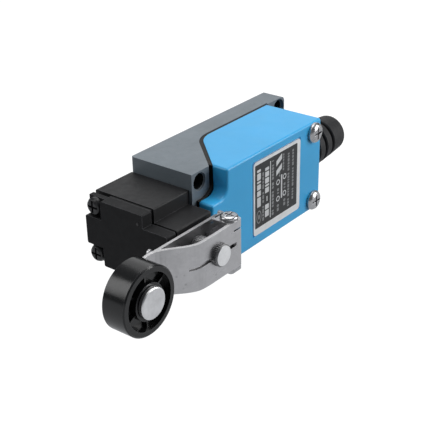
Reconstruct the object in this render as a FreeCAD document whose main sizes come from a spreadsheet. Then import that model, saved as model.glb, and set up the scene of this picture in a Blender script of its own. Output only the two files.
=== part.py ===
import FreeCAD, Part
import Sketcher
import math
import os

# Roller-lever limit switch lying on its side.
# X runs along the body (cable gland at +X, rotary head at -X), Y is the depth
# (mounting face at Y = 0, cover towards -Y), Z is the 28 mm body thickness.
# All drawing dimensions below are taken from the head-end face of the base
# housing; x_shift moves every piece so that the origin is the centre of the
# four mounting holes on the mounting face.

doc = FreeCAD.newDocument("LimitSwitch")
sheet = doc.addObject("Spreadsheet::Sheet", "Dims")

DIMS = [
    # body
    ("body_length", 62.3), ("body_half", 14.0), ("base_depth", 20.9),
    ("lug_depth", 6.9), ("part_depth", 6.2), ("slant_foot", 7.2), ("slant_head", 20.6),
    ("gasket_thick", 0.95), ("slant_gap", 1.15), ("floor_thick", 2.2), ("wall_thick", 1.9),
    ("cover_front", 26.2), ("cover_start", 1.7), ("cover_end", 53.3),
    ("cavity_start", 10.0), ("cavity_half", 12.0), ("parting_round", 9.5),
    # mounting holes and the scoops that clear them
    ("hole_pitch_long", 56.0), ("hole_pitch_cross", 22.0), ("hole_radius", 2.15),
    ("hole_start", 3.2), ("scoop_radius", 5.0), ("scoop_corner", 3.0),
    # cover screws
    ("cscrew_x", 49.2), ("cscrew_z", 10.75), ("cscrew_head_radius", 3.0),
    ("cscrew_head_high", 1.7), ("cscrew_radius", 1.75),
    # nameplate
    ("plate_x", 30.9), ("plate_z", 0.35), ("plate_long", 22.6), ("plate_tall", 22.2),
    ("plate_thick", 0.5), ("plate_recess", 0.35),
    # head
    ("head_length", 14.0), ("head_half", 9.7), ("head_depth", 20.0), ("head_gasket", 0.5),
    ("boss_half", 5.8), ("boss_depth", 27.4), ("head_cav_half", 5.2), ("head_wall", 2.5),
    ("end_seal", 0.9), ("end_front", 18.3), ("end_depth", 19.85), ("end_boss_depth", 27.7), ("end_half", 9.45), ("notch_floor", 1.6),
    ("notch_depth", 5.6), ("notch_z", 4.1), ("hscrew_y", 2.65), ("hscrew_z", 6.85),
    # shaft and lever
    ("shaft_x", 8.9), ("shaft_radius", 3.0), ("shaft_end", 38.1), ("bush_radius", 4.0),
    ("fit_gap", 0.05), ("cam_radius", 3.9), ("cam_flat", 2.4),
    ("sheet_thick", 0.85), ("lever_back", 28.5), ("lever_front", 36.7), ("lever_neck", 30.3),
    ("lever_end", 0.55), ("lever_half", 6.3), ("lever_low", 6.9), ("arm_length", 27.15),
    ("arm_end_radius", 5.1), ("ramp_start", 15.5), ("ramp_end", 28.3),
    ("clamp_x", 1.85), ("clamp_y", 34.3), ("clamp_radius", 1.25), ("clamp_head_radius", 2.35),
    ("lever_rear_half", 5.15),
    # roller
    ("roller_radius", 8.9), ("roller_back", 30.65), ("roller_front", 37.6),
    ("roller_bore", 2.55), ("axle_radius", 2.5), ("axle_head_radius", 4.05), ("axle_front", 38.85),
    # plunger
    ("plunger_y", 10.25), ("plunger_radius", 1.5), ("plunger_head_radius", 3.6),
    # gland
    ("gland_y", 16.0), ("gland_base_radius", 7.3), ("gland_tip_radius", 5.65),
    ("gland_end", 75.15), ("gland_neck_radius", 5.4), ("cable_bore_radius", 3.1),
    # contact block
    ("block_start", 11.5), ("block_end", 42.0), ("block_half", 9.6), ("block_face", 13.5),
]
for row, (name, value) in enumerate(DIMS, start=1):
    sheet.set("A%d" % row, name)
    sheet.set("B%d" % row, repr(value))
    sheet.setAlias("B%d" % row, name)
doc.recompute()


class Q:
    """A dimension as a sheet expression together with its present value."""
    def __init__(self, e, v):
        self.e, self.v = e, float(v)

    def __add__(self, o):
        o = num(o)
        return Q("(%s + %s)" % (self.e, o.e), self.v + o.v)

    def __sub__(self, o):
        o = num(o)
        return Q("(%s - %s)" % (self.e, o.e), self.v - o.v)

    def __mul__(self, o):
        o = num(o)
        return Q("(%s * %s)" % (self.e, o.e), self.v * o.v)

    def __truediv__(self, o):
        o = num(o)
        return Q("(%s / %s)" % (self.e, o.e), self.v / o.v)

    def __neg__(self):
        return Q("(0 - %s)" % self.e, -self.v)

    def __radd__(self, o):
        return num(o) + self

    def __rsub__(self, o):
        return num(o) - self

    def __rmul__(self, o):
        return num(o) * self


def num(v):
    if isinstance(v, Q):
        return v
    v = float(v)
    return Q("%.6f" % v if v >= 0 else "(0 - %.6f)" % -v, v)


VAL = dict(DIMS)


def d(name):
    return Q("Dims." + name, VAL[name])


X_SHIFT = -(d("hole_start") + d("hole_pitch_long") / 2)
NODES = []


def bind(obj, path, q):
    obj.setExpression(path, num(q).e)


def place(obj, x=0, y=0, z=0, shift=True):
    q = num(x)
    if shift:
        q = q + X_SHIFT
    obj.Placement = FreeCAD.Placement(FreeCAD.Vector(q.v, num(y).v, num(z).v), FreeCAD.Rotation())
    bind(obj, "Placement.Base.x", q)
    bind(obj, "Placement.Base.y", y)
    bind(obj, "Placement.Base.z", z)


def body(label, node=True):
    b = doc.addObject("PartDesign::Body", label)
    b.Label = label
    if node:
        NODES.append(b)
    return b


def sketch(b, role, offset=None):
    s = b.newObject("Sketcher::SketchObject", "Sketch")
    for f in b.Origin.OriginFeatures:
        if f.Role == role:
            s.AttachmentSupport = [(f, "")]
    s.MapMode = "FlatFace"
    if offset is not None:
        s.AttachmentOffset = FreeCAD.Placement(FreeCAD.Vector(0, 0, num(offset).v), FreeCAD.Rotation())
        bind(s, "AttachmentOffset.Base.z", offset)
    return s


def poly(s, pts):
    pts = [(num(a), num(b)) for a, b in pts]
    first = s.GeometryCount
    n = len(pts)
    for i in range(n):
        a, b = pts[i], pts[(i + 1) % n]
        s.addGeometry(Part.LineSegment(FreeCAD.Vector(a[0].v, a[1].v, 0), FreeCAD.Vector(b[0].v, b[1].v, 0)), False)
    for i in range(n):
        s.addConstraint(Sketcher.Constraint("Coincident", first + i, 2, first + (i + 1) % n, 1))
    for i in range(n):
        k = s.addConstraint(Sketcher.Constraint("DistanceX", -1, 1, first + i, 1, pts[i][0].v))
        bind(s, "Constraints[%d]" % k, pts[i][0])
        k = s.addConstraint(Sketcher.Constraint("DistanceY", -1, 1, first + i, 1, pts[i][1].v))
        bind(s, "Constraints[%d]" % k, pts[i][1])


def ring(s, cx, cy, r):
    cx, cy, r = num(cx), num(cy), num(r)
    g = s.addGeometry(Part.Circle(FreeCAD.Vector(cx.v, cy.v, 0), FreeCAD.Vector(0, 0, 1), r.v), False)
    k = s.addConstraint(Sketcher.Constraint("DistanceX", -1, 1, g, 3, cx.v))
    bind(s, "Constraints[%d]" % k, cx)
    k = s.addConstraint(Sketcher.Constraint("DistanceY", -1, 1, g, 3, cy.v))
    bind(s, "Constraints[%d]" % k, cy)
    k = s.addConstraint(Sketcher.Constraint("Radius", g, r.v))
    bind(s, "Constraints[%d]" % k, r)


def rect(s, x0, y0, x1, y1):
    poly(s, [(x0, y0), (x1, y0), (x1, y1), (x0, y1)])


def pad(b, s, length, mid=False, reverse=False):
    p = b.newObject("PartDesign::Pad", "Pad")
    p.Profile = s
    if mid:
        if hasattr(p, "SideType"):
            p.SideType = "Symmetric"
        else:
            p.Midplane = True
    p.Length = num(length).v
    bind(p, "Length", length)
    p.Reversed = reverse
    s.Visibility = False
    return p


def pocket(b, s, length, mid=False, forward=True):
    """Cut along the sketch normal (-Y, +X or +Z), or against it with forward=False."""
    doc.recompute()
    before = b.Shape.Volume
    p = b.newObject("PartDesign::Pocket", "Pocket")
    p.Profile = s
    if mid:
        if hasattr(p, "SideType"):
            p.SideType = "Symmetric"
        else:
            p.Midplane = True
    p.Length = num(length).v
    bind(p, "Length", length)
    p.Reversed = forward
    s.Visibility = False
    doc.recompute()
    if b.Shape.Volume > before - 0.01:
        raise RuntimeError("pocket in %s cut nothing" % b.Label)
    return p


def turn(b, s, axis):
    p = b.newObject("PartDesign::Revolution", "Revolution")
    p.Profile = s
    p.ReferenceAxis = (s, [axis])
    p.Angle = 360
    s.Visibility = False
    return p


def edges_at(b, test):
    doc.recompute()
    found = []
    for i, e in enumerate(b.Shape.Edges, start=1):
        if test(e):
            found.append("Edge%d" % i)
    if not found:
        raise RuntimeError("no edge found in %s" % b.Label)
    return found


def fillet(b, radius, test):
    names = edges_at(b, test)
    tip = b.Tip
    f = b.newObject("PartDesign::Fillet", "Fillet")
    f.Base = (tip, names)
    f.Radius = num(radius).v
    bind(f, "Radius", radius)
    doc.recompute()
    return f


def chamfer(b, size, test):
    names = edges_at(b, test)
    tip = b.Tip
    f = b.newObject("PartDesign::Chamfer", "Chamfer")
    f.Base = (tip, names)
    f.Size = num(size).v
    bind(f, "Size", size)
    doc.recompute()
    return f


def along(e, axis):
    """True when an edge is straight and runs along the axis (0, 1 or 2)."""
    if len(e.Vertexes) != 2 or e.Curve.TypeId != "Part::GeomLine":
        return False
    v = e.Vertexes[1].Point - e.Vertexes[0].Point
    c = [abs(v.x), abs(v.y), abs(v.z)]
    return c[axis] > 0.999 * math.sqrt(c[0] ** 2 + c[1] ** 2 + c[2] ** 2)


def near(a, b, tol=0.02):
    return abs(a - b) < tol


def mid(e):
    return e.CenterOfMass


def cross(s, cx, cy, arm, width):
    a, w = num(arm), num(width) / 2
    cx, cy = num(cx), num(cy)
    poly(s, [(cx - a, cy - w), (cx - w, cy - w), (cx - w, cy - a), (cx + w, cy - a),
             (cx + w, cy - w), (cx + a, cy - w), (cx + a, cy + w), (cx + w, cy + w),
             (cx + w, cy + a), (cx - w, cy + a), (cx - w, cy + w), (cx - a, cy + w)])


def group(label, members):
    c = doc.addObject("Part::Compound", label)
    c.Label = label
    c.Links = members
    NODES.append(c)
    for m in members:
        m.Visibility = False
    return c


def box(label, x0, y0, z0, x1, y1, z1):
    b = body(label)
    s = sketch(b, "XY_Plane", z0)
    rect(s, x0, y0, x1, y1)
    pad(b, s, num(z1) - num(z0))
    place(b)
    return b


# ------------------------------------------------------------------ base housing
half = d("body_half")
xe = d("body_length")
xc1 = d("cover_end")
base = body("base_housing")
s = sketch(base, "XY_Plane")
poly(s, [(0, 0), (xe, 0), (xe, -d("lug_depth")), (xc1 + 0.3, -d("lug_depth")),
         (xc1 + 0.3, -d("part_depth")), (d("slant_head"), -d("part_depth")),
         (d("slant_foot"), -d("base_depth")), (0, -d("base_depth"))])
pad(base, s, half * 2, mid=True)
fillet(base, d("parting_round"), lambda e: along(e, 2) and near(mid(e).x, VAL["slant_head"]) and near(mid(e).y, -VAL["part_depth"]))
fillet(base, 1.6, lambda e: along(e, 1) and near(mid(e).x, VAL["body_length"]) and abs(mid(e).z) > 13.5)
fillet(base, 0.7, lambda e: along(e, 2) and near(mid(e).x, 0) and near(mid(e).y, 0))
# cavity, open towards the cover
s = sketch(base, "XZ_Plane", d("floor_thick"))
ch = d("cavity_half")
rect(s, d("cavity_start"), -ch, d("cscrew_x") - 3.6, ch)
pocket(base, s, 30)
s = sketch(base, "XZ_Plane", d("floor_thick"))
rect(s, d("cscrew_x") - 4.0, -7.2, xc1 - d("wall_thick"), 7.2)
pocket(base, s, 30)
# mounting holes
s = sketch(base, "XZ_Plane")
for xx in (d("hole_start"), d("hole_start") + d("hole_pitch_long")):
    for sg in (-1, 1):
        ring(s, xx, d("hole_pitch_cross") / 2 * sg, d("hole_radius"))
pocket(base, s, 60, mid=True)
# counterbores of the two holes in the lug
s = sketch(base, "XZ_Plane", d("lug_depth") - 0.9)
for sg in (-1, 1):
    ring(s, d("hole_start") + d("hole_pitch_long"), d("hole_pitch_cross") / 2 * sg, d("hole_radius") + 0.55)
pocket(base, s, 20)
# shallow countersinks of the two holes at the head end
s = sketch(base, "XZ_Plane", d("base_depth") - 0.5)
for sg in (-1, 1):
    ring(s, d("hole_start"), d("hole_pitch_cross") / 2 * sg, d("hole_radius") + 0.35)
pocket(base, s, 20)
# threads for the cover screws, the earth screw and the contact-block screws
s = sketch(base, "XZ_Plane", 1.2)
for sg in (-1, 1):
    ring(s, d("cscrew_x"), d("cscrew_z") * sg, d("cscrew_radius"))
    ring(s, 39.6, 5.0 * sg, 1.25)
ring(s, 46.5, 0, 1.5)
pocket(base, s, 40)
# plunger guide bore through the head-end wall
s = sketch(base, "YZ_Plane")
ring(s, -d("plunger_y"), 0, 2.6)
pocket(base, s, 40, mid=True)
# threads for the two head screws
s = sketch(base, "YZ_Plane")
for sg in (-1, 1):
    ring(s, -d("hscrew_y"), d("hscrew_z") * sg, 1.5)
pocket(base, s, 7.0)
place(base)

# ------------------------------------------------------------------ front cover
g = d("gasket_thick")
cover = body("front_cover")
s = sketch(cover, "XY_Plane")
poly(s, [(d("cover_start"), -(d("base_depth") + g)), (d("slant_foot") + d("slant_gap") * 0.55, -(d("base_depth") + g)),
         (d("slant_head") + d("slant_gap") * 0.75, -(d("part_depth") + g)), (xc1, -(d("part_depth") + g)),
         (xc1, -d("cover_front")), (d("cover_start"), -d("cover_front"))])
pad(cover, s, half * 2, mid=True)
fillet(cover, d("parting_round") - g, lambda e: along(e, 2) and near(mid(e).y, -(VAL["part_depth"] + VAL["gasket_thick"])) and mid(e).x < 30)
# scoops that clear the mounting screws at the head end
ledge = VAL["hole_pitch_cross"] / 2 - VAL["scoop_radius"]
wall_x = VAL["hole_start"] + VAL["scoop_radius"]
for sg in (-1, 1):
    s = sketch(cover, "XZ_Plane", d("base_depth") - 12)
    rc = VAL["scoop_corner"]
    corner = [(-4.0, ledge + 13.0), (-4.0, ledge), (wall_x - rc, ledge), (wall_x, ledge + rc), (wall_x, ledge + 13.0)]
    corner = [FreeCAD.Vector(px, pz * sg, 0) for px, pz in corner]
    arc_mid = FreeCAD.Vector(wall_x - rc + rc * math.sqrt(0.5), (ledge + rc - rc * math.sqrt(0.5)) * sg, 0)
    s.addGeometry([Part.LineSegment(corner[0], corner[1]), Part.LineSegment(corner[1], corner[2]),
                   Part.Arc(corner[2], arc_mid, corner[3]), Part.LineSegment(corner[3], corner[4]),
                   Part.LineSegment(corner[4], corner[0])], False)
    pocket(cover, s, 40)
fillet(cover, 0.8, lambda e: along(e, 1) and near(mid(e).x, VAL["cover_start"]) and near(abs(mid(e).z), ledge))
fillet(cover, 0.7, lambda e: near(mid(e).y, -VAL["cover_front"]) and (
    (along(e, 0) and abs(mid(e).z) > 13.9) or mid(e).x < wall_x + 0.1) or (
    along(e, 1) and near(mid(e).x, wall_x) and abs(mid(e).z) > 13.9))
fillet(cover, 0.9, lambda e: along(e, 1) and near(mid(e).x, VAL["cover_end"]) and abs(mid(e).z) > 13.9)
# inside: a shell with a solid corner round each cover screw
w = d("wall_thick")
s = sketch(cover, "XZ_Plane")
poly(s, [(d("cavity_start") + 2.2, -ch), (d("cscrew_x") - 3.6, -ch), (d("cscrew_x") - 3.6, -7.2), (xc1 - w, -7.2),
         (xc1 - w, 7.2), (d("cscrew_x") - 3.6, 7.2), (d("cscrew_x") - 3.6, ch), (d("cavity_start") + 2.2, ch)])
pocket(cover, s, d("cover_front") - w)
# wider pocket for the gland's inner flange
s = sketch(cover, "YZ_Plane", xc1 - w)
ring(s, -d("gland_y"), 0, 8.0)
pocket(cover, s, 2.4, forward=False)
s = sketch(cover, "YZ_Plane", xc1)
ring(s, -d("gland_y"), 0, d("gland_neck_radius"))
pocket(cover, s, 8, forward=False)
# clearance holes for the cover screws
s = sketch(cover, "XZ_Plane")
for sg in (-1, 1):
    ring(s, d("cscrew_x"), d("cscrew_z") * sg, 1.95)
pocket(cover, s, 60)
# shallow recess for the nameplate
s = sketch(cover, "XZ_Plane", d("cover_front") - d("plate_recess"))
px, pz, pl, pt = d("plate_x"), d("plate_z"), d("plate_long") / 2 + 0.25, d("plate_tall") / 2 + 0.25
rect(s, px - pl, pz - pt, px + pl, pz + pt)
pocket(cover, s, 3)
place(cover)

# ------------------------------------------------------------------ gasket between the two
gk = body("cover_gasket")
s = sketch(gk, "XY_Plane")
t = 0.02
poly(s, [(d("cover_start"), -(d("base_depth") + t)), (d("slant_foot") + 0.02, -(d("base_depth") + t)),
         (d("slant_head") + 0.02, -(d("part_depth") + t)), (xc1, -(d("part_depth") + t)),
         (xc1, -(d("part_depth") + g - t)), (d("slant_head") + d("slant_gap") * 0.75 - 0.02, -(d("part_depth") + g - t)),
         (d("slant_foot") + d("slant_gap") * 0.55 - 0.02, -(d("base_depth") + g - t)), (d("cover_start"), -(d("base_depth") + g - t))])
pad(gk, s, half * 2 - 0.3, mid=True)
fillet(gk, d("parting_round"), lambda e: along(e, 2) and near(mid(e).y, -(VAL["part_depth"] + 0.02)) and mid(e).x < 30)
fillet(gk, d("parting_round") - g, lambda e: along(e, 2) and near(mid(e).y, -(VAL["part_depth"] + VAL["gasket_thick"] - 0.02)) and mid(e).x < 30)
s = sketch(gk, "XZ_Plane")
poly(s, [(d("cavity_start"), -ch), (d("cscrew_x") - 3.6, -ch), (d("cscrew_x") - 3.6, -7.2), (xc1 - w, -7.2),
         (xc1 - w, 7.2), (d("cscrew_x") - 3.6, 7.2), (d("cscrew_x") - 3.6, ch), (d("cavity_start"), ch)])
pocket(gk, s, 60)
s = sketch(gk, "XZ_Plane")
for sg in (-1, 1):
    ring(s, d("cscrew_x"), d("cscrew_z") * sg, 1.95)
    ring(s, d("hole_start"), d("hole_pitch_cross") / 2 * sg, d("scoop_radius"))
pocket(gk, s, 60)
s = sketch(gk, "XZ_Plane")
for sg in (-1, 1):
    rect(s, -4, d("hole_pitch_cross") / 2 * sg, d("hole_start") + d("scoop_radius"), (half + 1) * sg)
pocket(gk, s, 60)
s = sketch(gk, "XZ_Plane")
for sg in (-1, 1):
    rect(s, -4, (d("hole_pitch_cross") / 2 - d("scoop_radius")) * sg, d("hole_start"), (half + 1) * sg)
pocket(gk, s, 60)
place(gk)


# ------------------------------------------------------------------ screws
def screw_y(label, x, y_head, z, head_r, head_h, r, length, arm, node=False, shift=True, slot_depth=None):
    """Pan-head screw along Y, its head facing -Y; y_head is the seat."""
    b = body(label, node)
    s = sketch(b, "XY_Plane")
    hr, hh, rr, ln = num(head_r), num(head_h), num(r), num(length)
    poly(s, [(0, ln), (rr - 0.3, ln), (rr, ln - 0.4), (rr, 0), (hr, 0), (hr, -hh * 0.45),
             (hr * 0.86, -hh * 0.8), (hr * 0.6, -hh), (0, -hh)])
    turn(b, s, "V_Axis")
    s = sketch(b, "XZ_Plane", hh - (num(slot_depth) if slot_depth is not None else hh * 0.55))
    cross(s, 0, 0, arm, num(arm) * 0.32)
    pocket(b, s, 5)
    place(b, x, y_head, z)
    return b


def screw_x(label, x_head, y, z, head_r, head_h, r, length, arm, node=False):
    """Pan-head screw along X, its head facing -X; x_head is the seat."""
    b = body(label, node)
    s = sketch(b, "XY_Plane")
    hr, hh, rr, ln = num(head_r), num(head_h), num(r), num(length)
    poly(s, [(ln, 0), (ln, rr - 0.3), (ln - 0.4, rr), (0, rr), (0, hr), (-hh * 0.5, hr),
             (-hh * 0.85, hr * 0.85), (-hh, hr * 0.6), (-hh, 0)])
    turn(b, s, "H_Axis")
    s = sketch(b, "YZ_Plane", -(hh * 0.45))
    cross(s, 0, 0, arm, num(arm) * 0.36)
    pocket(b, s, 5, forward=False)
    place(b, x_head, y, z)
    return b


cf = d("cover_front")
group("cover_screws", [screw_y("cover_screw_%d" % i, d("cscrew_x"), -cf, d("cscrew_z") * sg, d("cscrew_head_radius"),
                               d("cscrew_head_high"), d("cscrew_radius") - 0.02, 24.0, 1.9)
                       for i, sg in enumerate((1, -1))])

# ------------------------------------------------------------------ nameplate
b = body("nameplate")
s = sketch(b, "XZ_Plane", cf - d("plate_recess"))
pl, pt = d("plate_long") / 2, d("plate_tall") / 2
rect(s, px - pl, pz - pt, px + pl, pz + pt)
pad(b, s, d("plate_thick"))
fillet(b, 1.1, lambda e: along(e, 1))
place(b)

# ------------------------------------------------------------------ head housing
hg = d("head_gasket")
hl = d("head_length")
hh_ = d("head_half")


def t_outline(s, h, depth, bh, bdepth):
    poly(s, [(0, -h), (-depth, -h), (-depth, -bh), (-bdepth, -bh), (-bdepth, bh), (-depth, bh), (-depth, h), (0, h)])


head = body("head_housing")
s = sketch(head, "YZ_Plane", -hl)
t_outline(s, hh_, d("head_depth"), d("boss_half"), d("boss_depth"))
pad(head, s, hl - hg)
fillet(head, 0.5, lambda e: along(e, 0) and (mid(e).y > -0.1 or mid(e).y < -27.0 or abs(mid(e).z) > 9.6))
s = sketch(head, "YZ_Plane", -hl - 1)
rect(s, -(d("head_depth") - 2.0), -d("head_cav_half"), -d("head_wall"), d("head_cav_half"))
pocket(head, s, hl + 3)
s = sketch(head, "XZ_Plane", d("head_depth") - 4)
ring(s, -d("shaft_x"), 0, d("bush_radius"))
pocket(head, s, 30)
s = sketch(head, "XZ_Plane", d("boss_depth") - 1.7)
ring(s, -d("shaft_x"), 0, 4.6)
pocket(head, s, 10)
s = sketch(head, "XZ_Plane", 0.9)
ring(s, -d("shaft_x"), 0, 2.0 + d("fit_gap"))
pocket(head, s, 5)
s = sketch(head, "YZ_Plane", -hl - 1)
for sg in (-1, 1):
    ring(s, -d("hscrew_y"), d("hscrew_z") * sg, 1.6)
pocket(head, s, hl + 3)
s = sketch(head, "YZ_Plane", -hl - 1)
for sg in (-1, 1):
    ring(s, -18.3, 6.7 * sg, 0.4)
pocket(head, s, 4)
place(head)

# flat seal between head and base
b = body("head_gasket")
s = sketch(b, "YZ_Plane", -hg + 0.02)
rect(s, -(d("head_depth") - 0.2), -(hh_ - 0.2), -0.2, hh_ - 0.2)
pad(b, s, hg - 0.04)
s = sketch(b, "YZ_Plane", -2)
ring(s, -d("plunger_y"), 0, 4.4)
pocket(b, s, 5)
s = sketch(b, "YZ_Plane", -2)
for sg in (-1, 1):
    ring(s, -d("hscrew_y"), d("hscrew_z") * sg, 1.6)
pocket(b, s, 5)
place(b)

# ------------------------------------------------------------------ head end plate
es = d("end_seal")
ef = d("end_front")
nd, nz = d("notch_depth"), d("notch_z")


def end_outline(s, h, depth, bh, bdepth, edge):
    poly(s, [(-edge, -nz), (-nd, -nz), (-nd, -h), (-depth, -h), (-depth, -bh), (-bdepth, -bh),
             (-bdepth, bh), (-depth, bh), (-depth, h), (-nd, h), (-nd, nz), (-edge, nz)])


plate = body("head_end_plate")
s = sketch(plate, "YZ_Plane", -ef)
end_outline(s, d("end_half"), d("end_depth"), d("boss_half"), d("end_boss_depth"), num(0))
pad(plate, s, ef - hl - es)
fillet(plate, 0.45, lambda e: along(e, 0) and (abs(mid(e).z) > 9.3 or mid(e).y > -0.1 or mid(e).y < -27.6))
# thinner floor of the notches, under the screw heads
nf = d("notch_floor")
for sg in (-1, 1):
    s = sketch(plate, "YZ_Plane", -(hl + es + nf))
    rect(s, -(nd + 0.8), (nz - 0.8) * sg, -0.15, (d("end_half") - 0.15) * sg)
    pad(plate, s, nf)
s = sketch(plate, "YZ_Plane", -ef - 1)
for sg in (-1, 1):
    ring(s, -d("hscrew_y"), d("hscrew_z") * sg, 1.6)
pocket(plate, s, 12)
s = sketch(plate, "YZ_Plane", -ef - 1)
for sg in (-1, 1):
    ring(s, -18.3, 6.7 * sg, 0.4)
pocket(plate, s, 12)
place(plate)

b = body("end_plate_seal")
s = sketch(b, "YZ_Plane", -hl - es + 0.02)
poly(s, [(-0.35, -nz + 0.3), (-nd + 0.0, -nz + 0.3), (-nd, -(hh_ - 0.35)), (-(d("end_depth") - 0.35), -(hh_ - 0.35)),
         (-(d("end_depth") - 0.35), -(d("boss_half") - 0.35)), (-(d("boss_depth") - 0.35), -(d("boss_half") - 0.35)),
         (-(d("boss_depth") - 0.35), d("boss_half") - 0.35), (-(d("end_depth") - 0.35), d("boss_half") - 0.35),
         (-(d("end_depth") - 0.35), hh_ - 0.35), (-nd, hh_ - 0.35), (-nd, nz - 0.3), (-0.35, nz - 0.3)])
pad(b, s, es - 0.04)
s = sketch(b, "YZ_Plane", -hl - 3)
for sg in (-1, 1):
    ring(s, -18.3, 6.7 * sg, 0.5)
pocket(b, s, 6)
place(b)

pins = []
for i, sg in enumerate((1, -1)):
    b = body("end_pin_%d" % i, False)
    s = sketch(b, "YZ_Plane", 0)
    ring(s, 0, 0, 0.37)
    pad(b, s, 6.7)
    place(b, -ef - 0.12, -18.3, 6.7 * sg)
    pins.append(b)
group("end_plate_pins", pins)

group("head_screws", [screw_x("head_screw_%d" % i, -(hl + es + nf + 0.02), -d("hscrew_y"), d("hscrew_z") * sg, 2.38, 1.75, 1.48,
                              hl + es + nf + 6.2, 1.7) for i, sg in enumerate((1, -1))])

# ------------------------------------------------------------------ bushes and seal on the shaft
sr = d("shaft_radius")
fg = d("fit_gap")
sx = d("shaft_x")


def sleeve_y(label, y0, y1, r_in, r_out):
    """Sleeve round the shaft axis from y0 to y1 (both negative, y1 the outer end)."""
    b = body(label)
    s = sketch(b, "XY_Plane")
    rect(s, r_in, y1, r_out, y0)
    turn(b, s, "V_Axis")
    place(b, -sx, 0, 0)
    return b


sleeve_y("shaft_bush", -(d("head_depth") - 2.0) - 0.1, -(d("boss_depth") - 1.75), sr + fg, d("bush_radius") - 0.01)
sleeve_y("shaft_seal", -(d("boss_depth") - 1.65), -(d("boss_depth") - 0.1), sr + fg, num(4.58))

# ------------------------------------------------------------------ rotary shaft
shaft = body("rotary_shaft")
se = d("shaft_end")
s = sketch(shaft, "XY_Plane")
cr = d("cam_radius")
poly(s, [(0, -1.0), (2.0, -1.0), (2.0, -2.9), (sr, -2.9), (sr, -6.6), (cr, -6.6), (cr, -13.9), (sr, -13.9),
         (sr, -15.6), (2.3, -15.6), (2.3, -16.4), (sr, -16.4), (sr, -(se - 0.35)), (sr - 0.35, -se), (0, -se)])
turn(shaft, s, "V_Axis")
# flat on the cam, facing the plunger
s = sketch(shaft, "XZ_Plane", 6.6)
rect(s, d("cam_flat"), -6, 8, 6)
pocket(shaft, s, 7.3)
# serrations under the lever and on the projecting end
s = sketch(shaft, "XZ_Plane", d("lever_back") - 0.3)
poly(s, [(sr - 0.17, 0), (sr + 0.15, -0.3), (sr + 0.15, 0.3)])
pk = pocket(shaft, s, 20)
pp = shaft.newObject("PartDesign::PolarPattern", "Serrations")
pp.Originals = [pk]
pp.Axis = (s, ["N_Axis"])
pp.Angle = 360
pp.Occurrences = 32
shaft.Tip = pp
doc.recompute()
place(shaft, -sx, 0, 0)

b = body("shaft_circlip")
s = sketch(b, "XZ_Plane", 15.7)
ring(s, 0, 0, 4.4)
ring(s, 0, 0, 2.35)
pad(b, s, 0.6)
s = sketch(b, "XZ_Plane", 15)
rect(s, -6, -1.7, 0, 1.7)
pocket(b, s, 3)
place(b, -sx, 0, 0)

# ------------------------------------------------------------------ lever: one folded strip
st = d("sheet_thick")
lb, lf, ln = d("lever_back"), d("lever_front"), d("lever_neck")
le = d("lever_end")
rx = sx + d("arm_length")
ra = d("arm_end_radius")
rs, re_ = d("ramp_start"), d("ramp_end")
lever = body("lever_arm")
s = sketch(lever, "XY_Plane")
rl = rx + ra + 1
outer, inner = [], []
for k in range(0, 13):
    u = k / 12.0
    sm = (1 - math.cos(math.pi * u)) / 2
    slope = -(VAL["lever_front"] - VAL["lever_neck"]) * math.pi / 2 * math.sin(math.pi * u) / (VAL["ramp_end"] - VAL["ramp_start"])
    nrm = math.hypot(slope, 1.0)
    ox, oy = -rs - (re_ - rs) * u, -lf + (lf - ln) * sm
    outer.append((ox, oy))
    inner.append((ox - st * (slope / nrm), oy + st * (1.0 / nrm)))
poly(s, [(-rl, -lb), (le, -lb), (le, -lf)] + outer + [(-rl, -ln), (-rl, -ln + st)] + inner[::-1]
     + [(le - st, -lf + st), (le - st, -lb - st), (-rl, -lb - st)])
pad(lever, s, 2 * d("lever_low") + 2, mid=True)
# side outline
s = sketch(lever, "XZ_Plane")
lh, lw = d("lever_half"), d("lever_low")
poly(s, [(-60, -12), (10, -12), (10, 12), (-60, 12)])
pts = [(le, lh), (le, -lw + 0.0), (-13.0, -lw + 0.0), (-20.0, -lw + 0.45)]
for k in range(0, 17):
    a = math.radians(-90 - 180.0 * k / 16)
    pts.append((-rx + ra * math.cos(a), ra * math.sin(a)))
pts += [(-26.0, lh), (-10.0, lh - 0.15), (-5.0, lh)]
poly(s, pts)
pocket(lever, s, 60)
# the back plate is narrower than the front one
rh = d("lever_rear_half")
s = sketch(lever, "XZ_Plane")
rect(s, -70, rh, 8, 14)
pocket(lever, s, lb + st + 0.02)
fillet(lever, 0.95, lambda e: along(e, 2) and near(mid(e).x, VAL["lever_end"]) and near(mid(e).y, -VAL["lever_front"]))
fillet(lever, 0.95, lambda e: along(e, 2) and near(mid(e).x, VAL["lever_end"]) and near(mid(e).y, -VAL["lever_back"]))
# shaft hole, roller-axle hole and the clamping slot
s = sketch(lever, "XZ_Plane")
ring(s, -sx, 0, sr + fg)
ring(s, -rx, 0, d("axle_radius") + 0.02)
pocket(lever, s, 60)
s = sketch(lever, "XZ_Plane")
rect(s, -sx - 10.4, -0.55, -2.0, 0.55)
pocket(lever, s, 60)
# relief slits beside the clamp ears, and the window in the end wall
s = sketch(lever, "XZ_Plane")
rect(s, le - 3.6, 3.7, 4, 4.15)
pocket(lever, s, 60)
# ears that carry the clamp screw
s = sketch(lever, "XY_Plane", 5.35)
rect(s, -4.4, -(lf - st + 0.1), le - 0.3, -(lb + st + 1.9))
pad(lever, s, 0.95)
s = sketch(lever, "XY_Plane", -lw)
rect(s, -5.2, -(lf - st), le - 0.3, -(lb + st))
pad(lever, s, st)
s = sketch(lever, "XY_Plane")
ring(s, -d("clamp_x"), -d("clamp_y"), d("clamp_radius") + 0.05)
pocket(lever, s, 40, mid=True)
# small curled eye on the back plate
s = sketch(lever, "XZ_Plane", lb + 0.1)
ring(s, -26.0, rh + 0.45, 0.8)
pad(lever, s, st - 0.2)
s = sketch(lever, "XZ_Plane", lb - 1)
ring(s, -26.0, rh + 0.5, 0.42)
pocket(lever, s, 3)
place(lever)

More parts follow.
